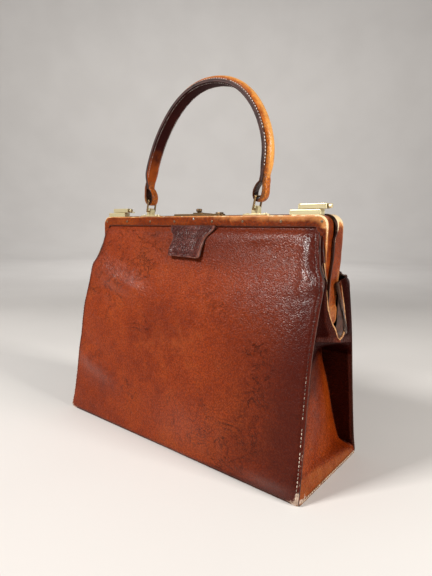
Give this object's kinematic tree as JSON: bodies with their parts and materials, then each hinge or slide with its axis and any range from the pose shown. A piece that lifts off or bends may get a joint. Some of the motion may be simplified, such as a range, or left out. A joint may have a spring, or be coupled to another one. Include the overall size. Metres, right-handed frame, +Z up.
{
  "type": "leather frame handbag",
  "caption": "Leather handbag with a flat base, sloping panels, folded gussets, a hinged top frame with sliding catches, and an arched strap handle on rings.",
  "frame": {"origin": "centre of the base, on the surface that the bag stands on", "axes": "+Z up, X along the bag's length, +Y from the front panel to the rear panel"},
  "size_m": [0.3, 0.1152, 0.354],
  "materials": {
    "base_leather": "scuffed leather",
    "board": "pressed board",
    "body_leather": "glossy pebbled leather",
    "gusset_leather": "satin grained leather",
    "lining_cloth": "matt woven lining",
    "frame_steel": "dark lacquered steel",
    "frame_leather": "polished leather with worn edges",
    "nail_metal": "dull nail heads",
    "bright_metal": "bright rivet",
    "tab_leather": "worn dark leather",
    "pale_brass": "worn pale brass",
    "dark_bronze": "dark tarnished brass",
    "handle_leather": "polished padded leather",
    "handle_inner_leather": "dark rubbed leather"
  },
  "bodies": {
    "bag": {"base_panel": "base_leather", "base_board": "board", "front_panel": "body_leather", "rear_panel": "body_leather", "left_gusset": "gusset_leather", "right_gusset": "gusset_leather", "lining": "lining_cloth", "front_frame": "frame_steel", "front_frame_cover": "frame_leather", "front_frame_nails": "nail_metal", "face_rivet": "bright_metal", "left_hinge_rivet": "nail_metal", "right_hinge_rivet": "nail_metal", "left_hinge_washer": "nail_metal", "right_hinge_washer": "nail_metal", "pull_tab": "tab_leather", "left_catch_base": "pale_brass", "right_catch_base": "pale_brass", "lock_plate": "dark_bronze", "lock_boss": "dark_bronze", "left_handle_plate": "pale_brass", "right_handle_plate": "pale_brass"},
    "rear_frame": {"rear_frame": "frame_steel", "rear_frame_cover": "frame_leather", "rear_frame_nails": "nail_metal", "left_catch_stud": "pale_brass", "right_catch_stud": "pale_brass", "lock_stud": "dark_bronze"},
    "left_catch": {"left_catch_slider": "pale_brass"},
    "right_catch": {"right_catch_slider": "pale_brass"},
    "lock": {"lock_slide": "dark_bronze"},
    "left_ring": {"left_handle_ring": "pale_brass"},
    "right_ring": {"right_handle_ring": "pale_brass"},
    "handle": {"handle_outer": "handle_leather", "handle_inner": "handle_inner_leather"}
  },
  "joints": [
    {"name": "frame_hinge", "type": "hinge", "parent": "bag", "child": "rear_frame", "pos_m": [0, -0.0025, 0.141], "axis": [-1, 0, 0], "range_deg": [0, 50], "deforming": ["rear_panel", "left_gusset", "right_gusset", "lining"]},
    {"name": "left_catch_slide", "type": "slide", "parent": "bag", "child": "left_catch", "axis": [1, 0, 0], "range_m": [-0.006, 0]},
    {"name": "right_catch_slide", "type": "slide", "parent": "bag", "child": "right_catch", "axis": [1, 0, 0], "range_m": [-0.006, 0]},
    {"name": "lock_travel", "type": "slide", "parent": "bag", "child": "lock", "axis": [1, 0, 0], "range_m": [-0.005, 0]},
    {"name": "handle_sway", "type": "hinge", "parent": "bag", "child": "left_ring", "pos_m": [-0.0695, -0.0045, 0.2295], "axis": [0, 1, 0], "range_deg": [-42, 18]},
    {"name": "right_ring_turn", "type": "hinge", "parent": "bag", "child": "right_ring", "pos_m": [0.0695, -0.0045, 0.2295], "axis": [0, 1, 0], "range_deg": [-42, 18]},
    {"name": "handle_pivot", "type": "hinge", "parent": "left_ring", "child": "handle", "pos_m": [-0.06705, -0.0045, 0.24104], "axis": [0, 1, 0], "range_deg": [-18, 42]}
  ],
  "couplings": [
    {"joint": "right_ring_turn", "follows": "handle_sway", "ratio": 1},
    {"joint": "handle_pivot", "follows": "handle_sway", "ratio": -1}
  ]
}
